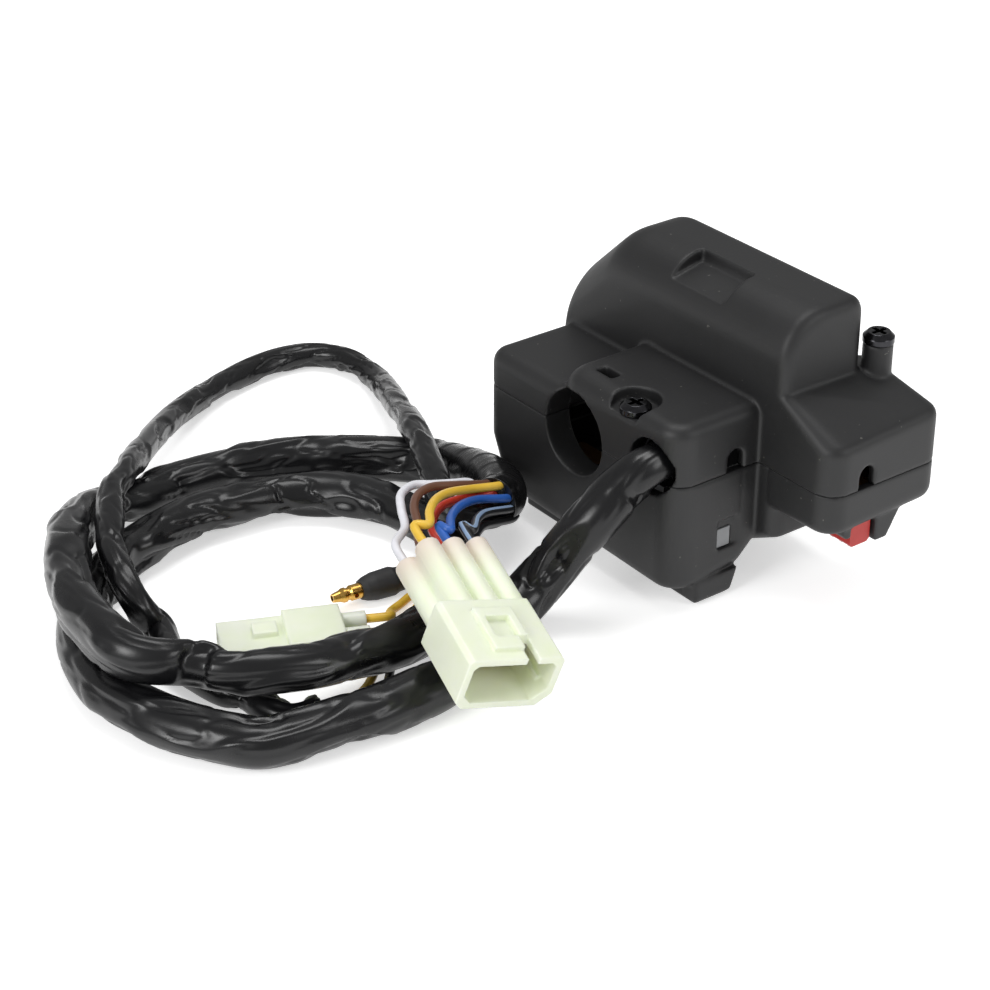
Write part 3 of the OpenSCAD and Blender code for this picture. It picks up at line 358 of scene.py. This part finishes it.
# Casing: two halves injection-moulded in black ABS and drawn together on the bar by screws.
# The tool was spark-eroded, which leaves an even matt grain, and every edge has a small radius.
CASE_VOXEL = 0.42 * MM
nodes = frame["nodes"]
abs_black, tree, shader = finish("moulded_black_abs", 0.52, 1.52)
spot = add(tree, "ShaderNodeTexCoord").outputs["Object"]
flow = add(tree, "ShaderNodeTexNoise", {"Vector": spot, "Scale": 1 / (22 * MM), "Detail": 3.0})
tone = add(tree, "ShaderNodeValToRGB", {"Fac": flow.outputs["Fac"]})
tone.color_ramp.elements[0].position, tone.color_ramp.elements[1].position = 0.3, 0.7
tone.color_ramp.elements[0].color = linear("#141415")
tone.color_ramp.elements[1].color = linear("#1a1a1b")
# Dust and rub marks: a few pale specks, drawn at 0.5 mm so that they show.
specks = add(tree, "ShaderNodeTexNoise", {"Vector": spot, "Scale": 1 / (1.3 * MM), "Detail": 2.0})
rare = add(tree, "ShaderNodeMapRange", {"Value": specks.outputs["Fac"], "From Min": 0.735, "From Max": 0.79})
dusty = add(tree, "ShaderNodeMix", {"Factor": rare.outputs["Result"], "A": tone.outputs["Color"],
                                    "B": linear("#54534f")}, data_type="RGBA")
tree.links.new(dusty.outputs["Result"], shader["Base Color"])
polish = add(tree, "ShaderNodeMapRange", {"Value": flow.outputs["Fac"], "To Min": 0.44, "To Max": 0.6})
tree.links.new(polish.outputs["Result"], shader["Roughness"])
# The grain is about 0.1 mm in the real tool; it is drawn at 0.45 mm so that it shows.
grain = add(tree, "ShaderNodeTexNoise", {"Vector": spot, "Scale": 1 / (0.45 * MM), "Detail": 2.0})
matt = add(tree, "ShaderNodeBump", {"Height": grain.outputs["Fac"], "Strength": 0.16, "Distance": 0.12 * MM})
tree.links.new(matt.outputs["Normal"], shader["Normal"])


def softened(node, body, material, voxel, passes):
    """A copy of a moulded CAD node with its facets and sharp edges eased, in that node's place."""
    piece = bpy.data.objects.new(node + "_moulding", nodes[node].data.copy())
    scene.collection.objects.link(piece)
    even = piece.modifiers.new("even", "REMESH")
    even.mode = "VOXEL"
    even.voxel_size = voxel
    ease = piece.modifiers.new("ease", "SMOOTH")
    ease.factor = 0.5
    ease.iterations = passes
    eased_mesh = bpy.data.meshes.new_from_object(piece.evaluated_get(bpy.context.evaluated_depsgraph_get()))
    piece.modifiers.clear()
    piece.data = eased_mesh
    piece.data.materials.clear()
    piece.data.materials.append(material)
    for face in piece.data.polygons:
        face.use_smooth = True
    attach(piece, body)
    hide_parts(node)
    return piece


for node in ("rear_case", "front_case"):
    softened(node, "housing", abs_black, CASE_VOXEL, 8)

# Screws: pan-head self-tapping screws in steel, black zinc plated and glossy, with a cross
# recess. One sits in the round pocket of the pad and one on the boss beside the tower.
zinc_black, tree, shader = finish("black_zinc_steel", 0.24, metallic=1.0)
spot = add(tree, "ShaderNodeTexCoord").outputs["Object"]
plating = add(tree, "ShaderNodeTexNoise", {"Vector": spot, "Scale": 1 / (1.5 * MM), "Detail": 3.0})
tone = add(tree, "ShaderNodeValToRGB", {"Fac": plating.outputs["Fac"]})
tone.color_ramp.elements[0].color = linear("#2a2a2c")
tone.color_ramp.elements[1].color = linear("#4a4a4d")
tree.links.new(tone.outputs["Color"], shader["Base Color"])
worn = add(tree, "ShaderNodeMapRange", {"Value": plating.outputs["Fac"], "To Min": 0.1, "To Max": 0.26})
tree.links.new(worn.outputs["Result"], shader["Roughness"])
for node in ("pad_screw_1", "block_screw_1"):
    softened(node, "housing", zinc_black, 0.12 * MM, 4)

# Connectors: a seven-way shroud, and the small plug of another one that lies on the table. Both are
# moulded in natural nylon, pale green-white and cloudy; the wires tint the tubes of the large one pink.
connectors = {}
for node, pink in (("connector", 0.75), ("plug", 0.0)):
    nylon, tree, shader = finish("moulded_natural_nylon_" + node, 0.36, 1.53)
    spot = add(tree, "ShaderNodeTexCoord").outputs["Object"]
    cloud = add(tree, "ShaderNodeTexNoise", {"Vector": spot, "Scale": 1 / (7 * MM), "Detail": 3.0})
    milky = add(tree, "ShaderNodeMix", {"Factor": cloud.outputs["Fac"], "A": linear("#f4f9e8"),
                                        "B": linear("#e9f3d2")}, data_type="RGBA")
    back = add(tree, "ShaderNodeVectorMath", {0: spot, 1: CONN_AT * MM}, operation="SUBTRACT")
    depth = add(tree, "ShaderNodeVectorMath", {0: back.outputs["Vector"], 1: CONN_TURN.col[0]},
                operation="DOT_PRODUCT")
    flush = add(tree, "ShaderNodeMapRange", {"Value": depth.outputs["Value"], "From Min": -33 * MM,
                                             "From Max": -44 * MM, "To Min": 0.0, "To Max": pink})
    tinted = add(tree, "ShaderNodeMix", {"Factor": flush.outputs["Result"], "A": milky.outputs["Result"],
                                         "B": linear("#e3cdc4")}, data_type="RGBA")
    tree.links.new(tinted.outputs["Result"], shader["Base Color"])
    shader["Subsurface Weight"].default_value = 0.6
    shader["Subsurface Radius"].default_value = (1.0, 1.0, 0.8)
    shader["Subsurface Scale"].default_value = 3 * MM
    chill = add(tree, "ShaderNodeTexNoise", {"Vector": spot, "Scale": 1 / (1.2 * MM), "Detail": 2.0})
    ripple = add(tree, "ShaderNodeBump", {"Height": chill.outputs["Fac"], "Strength": 0.1,
                                          "Distance": 0.2 * MM})
    tree.links.new(ripple.outputs["Normal"], shader["Normal"])
    connectors[node] = softened(node, "housing", nylon, 0.22 * MM, 5)

# Terminals: stamped brass blades, receptacles and the bullet, bright, with fine drawing lines.
brass, tree, shader = finish("stamped_brass", 0.22, metallic=1.0)
spot = add(tree, "ShaderNodeTexCoord").outputs["Object"]
drawn = add(tree, "ShaderNodeTexNoise", {"Vector": spot, "Scale": 1 / (0.8 * MM), "Detail": 3.0})
tone = add(tree, "ShaderNodeValToRGB", {"Fac": drawn.outputs["Fac"]})
tone.color_ramp.elements[0].color = linear("#b98a3a")
tone.color_ramp.elements[1].color = linear("#dcb465")
tree.links.new(tone.outputs["Color"], shader["Base Color"])
buff = add(tree, "ShaderNodeMapRange", {"Value": drawn.outputs["Fac"], "To Min": 0.16, "To Max": 0.32})
tree.links.new(buff.outputs["Result"], shader["Roughness"])

# Boot of the bullet: a soft rubber sleeve, pushed over the crimp; dull black.
rubber, tree, shader = finish("moulded_soft_rubber", 0.62, 1.52)
spot = add(tree, "ShaderNodeTexCoord").outputs["Object"]
bloom = add(tree, "ShaderNodeTexNoise", {"Vector": spot, "Scale": 1 / (2 * MM), "Detail": 4.0})
tone = add(tree, "ShaderNodeValToRGB", {"Fac": bloom.outputs["Fac"]})
tone.color_ramp.elements[0].color = linear("#1d1d1e")
tone.color_ramp.elements[1].color = linear("#2b2b2c")
tree.links.new(tone.outputs["Color"], shader["Base Color"])
pores = add(tree, "ShaderNodeBump", {"Height": bloom.outputs["Fac"], "Strength": 0.2, "Distance": 0.2 * MM})
tree.links.new(pores.outputs["Normal"], shader["Normal"])

# Knobs, buttons and what is behind them: moulded plastics, steel springs and a paper laminate.
# They keep their CAD shapes; each finish drifts a little in tone and gloss.
INNER_FINISHES = {
    "knob_red": ("moulded_red_abs", "#c3271f", 0.34, 0.0),
    "button_plastic": ("moulded_black_acetal", "#2b2b2e", 0.4, 0.0),
    "switch_plastic": ("moulded_grey_pbt", "#9fa1a3", 0.45, 0.0),
    "carrier_nylon": ("moulded_ivory_nylon", "#d9d4c4", 0.45, 0.0),
    "spring_steel": ("drawn_spring_steel", "#b7b9bd", 0.28, 1.0),
    "board_laminate": ("pressed_paper_laminate", "#71502f", 0.5, 0.0),
    "tie_nylon": ("moulded_black_nylon", "#202022", 0.42, 0.0)}
node_finish = {"brass": brass, "boot_rubber": rubber}
for slot_name, (name, colour, roughness, metallic) in INNER_FINISHES.items():
    made, tree, shader = finish(name, roughness, metallic=metallic)
    spot = add(tree, "ShaderNodeTexCoord").outputs["Object"]
    drift = add(tree, "ShaderNodeTexNoise", {"Vector": spot, "Scale": 1 / (2.5 * MM), "Detail": 3.0})
    shade = add(tree, "ShaderNodeMix", {"Factor": drift.outputs["Fac"], "A": linear(colour),
                                        "B": [0.8 * c for c in linear(colour)[:3]] + [1]}, data_type="RGBA")
    tree.links.new(shade.outputs["Result"], shader["Base Color"])
    sheen = add(tree, "ShaderNodeMapRange", {"Value": drift.outputs["Fac"], "To Min": roughness - 0.06,
                                             "To Max": roughness + 0.08})
    tree.links.new(sheen.outputs["Result"], shader["Roughness"])
    node_finish[slot_name] = made
for part in frame["record"]["subparts"]:
    shown = nodes[part["node"]]
    if part["material_slot"] in node_finish:
        shown.data.materials.clear()
        shown.data.materials.append(node_finish[part["material_slot"]])

# Cords: the main sleeve carries the tape and the large connector, the wires go on from the tape,
# the branch leaves the tape and its leads end in bullet and plug. The loop below only looks up each lead and
# its path.
for name, end, on_it in (("bullet_lead", "fitting", [nodes["bullet_boot"], nodes["bullet_terminal"]]),
                         ("plug_lead", "connector", [connectors["plug"], nodes["plug_terminals"]])):
    lead, path = leads[name]

# Table and light: a pale seamless sheet under soft boxes, one large above and one at each side.
# The sheet shows white to the camera and to gloss, and keeps the shadow of the cluster.
FLOOR_Z = -35 * MM
FLOOR_REACH = 3
FLOOR_GLOW = 0.5
WORLD_LEVEL = 0.4
sheet = bpy.data.meshes.new("table")
corners = [(x * FLOOR_REACH, y * FLOOR_REACH, FLOOR_Z) for x, y in ((-1, -1), (1, -1), (1, 1), (-1, 1))]
sheet.from_pydata(corners, [], [(0, 1, 2, 3)])
table = bpy.data.objects.new("table", sheet)
scene.collection.objects.link(table)
paper, tree, shader = finish("white_paper", 0.9)
shader["Base Color"].default_value = linear("#fbfbfb")
rays = add(tree, "ShaderNodeLightPath")
seen = add(tree, "ShaderNodeMath", {0: rays.outputs["Is Camera Ray"], 1: rays.outputs["Is Glossy Ray"]},
           operation="MAXIMUM")
seen = add(tree, "ShaderNodeMath", {0: seen.outputs["Value"], 1: rays.outputs["Is Transmission Ray"]},
           operation="MAXIMUM")
glow = add(tree, "ShaderNodeMath", {0: seen.outputs["Value"], 1: FLOOR_GLOW}, operation="MULTIPLY")
shader["Emission Color"].default_value = (1, 1, 1, 1)
tree.links.new(glow.outputs["Value"], shader["Emission Strength"])
sheet.materials.append(paper)

world = bpy.data.worlds.new("studio")
world.use_nodes = True
scene.world = world
world.node_tree.nodes["Background"].inputs["Color"].default_value = (1, 1, 1, 1)
world.node_tree.nodes["Background"].inputs["Strength"].default_value = WORLD_LEVEL

LIT_POINT = Vector((-0.03, 0, -0.01))
SOFT_BOXES = {
    "top": ((0.05, 0.1, 0.75), (0.45, 0.3), 2.5),
    "left": ((-0.75, -0.1, 0.4), (0.3, 0.3), 2.9),
    "right": ((0.35, -0.8, 0.45), (0.35, 0.35), 1.9)}
for name, (place, size, power) in SOFT_BOXES.items():
    lamp = bpy.data.lights.new(name + "_soft_box", "AREA")
    lamp.shape = "RECTANGLE"
    lamp.size, lamp.size_y = size
    lamp.energy = power
    box = bpy.data.objects.new(name + "_soft_box", lamp)
    box.location = place
    box.rotation_euler = (LIT_POINT - box.location).to_track_quat("-Z", "Y").to_euler()
    scene.collection.objects.link(box)
